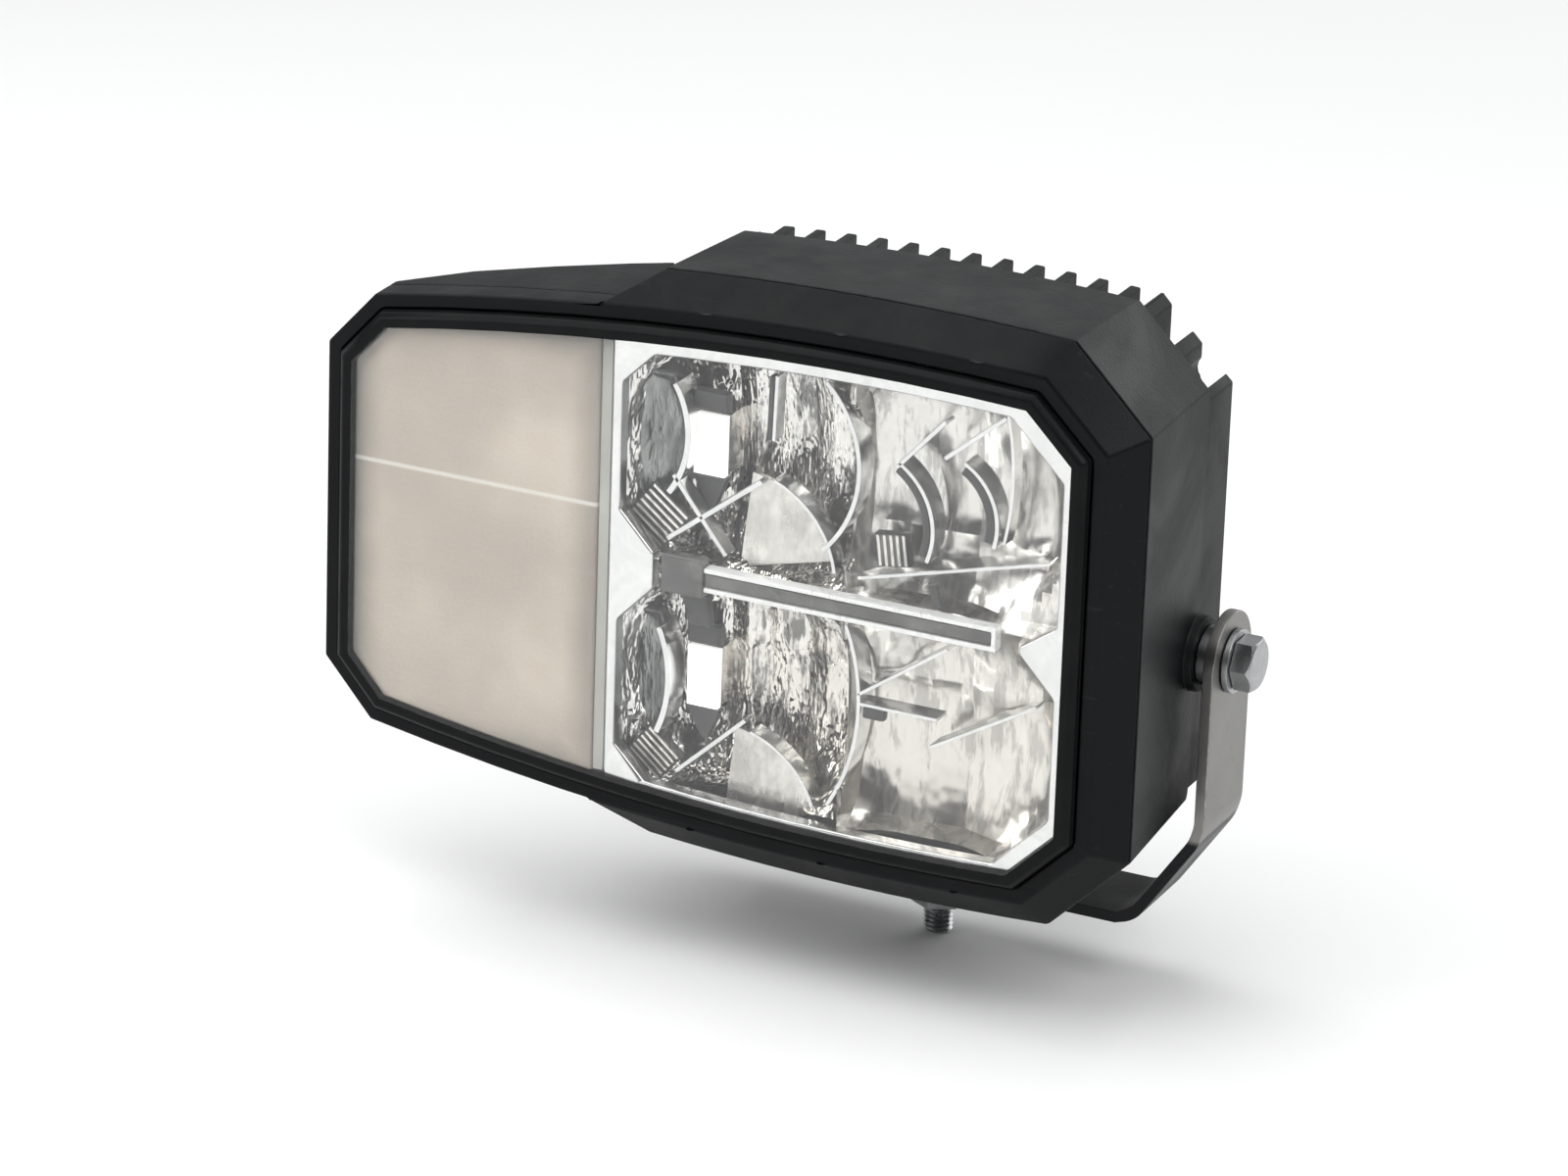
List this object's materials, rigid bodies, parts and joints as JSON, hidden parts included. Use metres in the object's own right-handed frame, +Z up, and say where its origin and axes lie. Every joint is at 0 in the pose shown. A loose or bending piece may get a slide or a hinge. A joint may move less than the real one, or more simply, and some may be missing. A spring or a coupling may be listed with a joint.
{
  "type": "vehicle work headlamp",
  "caption": "Square LED headlamp with a finned rear case and a side indicator wing, hung in a U bracket that tilts on side bolts and swivels on a foot bolt.",
  "frame": {"origin": "on the axis of the foot bolt, in the plane that the foot pad stands on", "axes": "+Z up along the foot bolt, -Y the way the lens faces, +X to the right of someone looking at the lens"},
  "size_m": [0.2435, 0.071, 0.1895],
  "materials": {
    "case_black": "satin black powder coat on a die casting",
    "plastic_black": "satin",
    "rubber_black": "matte",
    "bracket_steel": "dull satin",
    "zinc_steel": "zinc plated",
    "bright_frame": "polished",
    "mirror_plastic": "vacuum metallised",
    "silver_plastic": "satin silver",
    "smoke_plastic": "smoked, glossy",
    "lens_clear": "clear, hard coated",
    "panel_frosted": "frosted",
    "plastic_white": "satin",
    "board_green": "lacquered",
    "aluminium_bare": "machined"
  },
  "bodies": {
    "foot": {"foot_bolt": "zinc_steel", "foot_washer": "zinc_steel", "foot_nut": "zinc_steel", "foot_pad": "rubber_black"},
    "bracket": {"bracket": "bracket_steel"},
    "lamp": {"housing": "case_black", "bezel": "plastic_black", "lens": "lens_clear", "lens_gasket": "rubber_black", "trim_frame": "bright_frame", "reflector_upper_left": "mirror_plastic", "reflector_upper_right": "mirror_plastic", "reflector_lower_left": "mirror_plastic", "reflector_lower_right": "mirror_plastic", "led_module_upper_left": "plastic_white", "led_module_upper_right": "plastic_white", "led_module_lower_left": "plastic_white", "led_module_lower_right": "plastic_white", "light_bar_channel": "silver_plastic", "light_guide": "smoke_plastic", "light_bar_block": "smoke_plastic", "led_board": "board_green", "heat_spreader": "aluminium_bare", "driver_board": "board_green", "standoff_upper_left": "aluminium_bare", "standoff_upper_right": "aluminium_bare", "standoff_lower_left": "aluminium_bare", "standoff_lower_right": "aluminium_bare", "indicator_panel": "panel_frosted", "indicator_tray": "plastic_white", "indicator_board": "plastic_white", "inlet_gasket": "rubber_black", "inlet_shell": "plastic_black", "inlet_insert": "plastic_black", "inlet_screw_lower": "zinc_steel", "inlet_screw_upper": "zinc_steel", "vent_plug": "plastic_black", "case_screw_1": "zinc_steel", "case_screw_2": "zinc_steel", "case_screw_3": "zinc_steel", "case_screw_4": "zinc_steel", "tilt_spacer_right": "zinc_steel", "tilt_washer_right": "zinc_steel", "tilt_bolt_right": "zinc_steel", "tilt_spacer_left": "zinc_steel", "tilt_washer_left": "zinc_steel", "tilt_bolt_left": "zinc_steel"}
  },
  "joints": [
    {"name": "swivel", "type": "hinge", "parent": "foot", "child": "bracket", "pos_m": [0, 0, 0], "axis": [0, 0, 1], "range_deg": [-45, 45]},
    {"name": "tilt", "type": "hinge", "parent": "bracket", "child": "lamp", "pos_m": [0, 0, 0.076], "axis": [1, 0, 0], "range_deg": [-10, 10]}
  ]
}
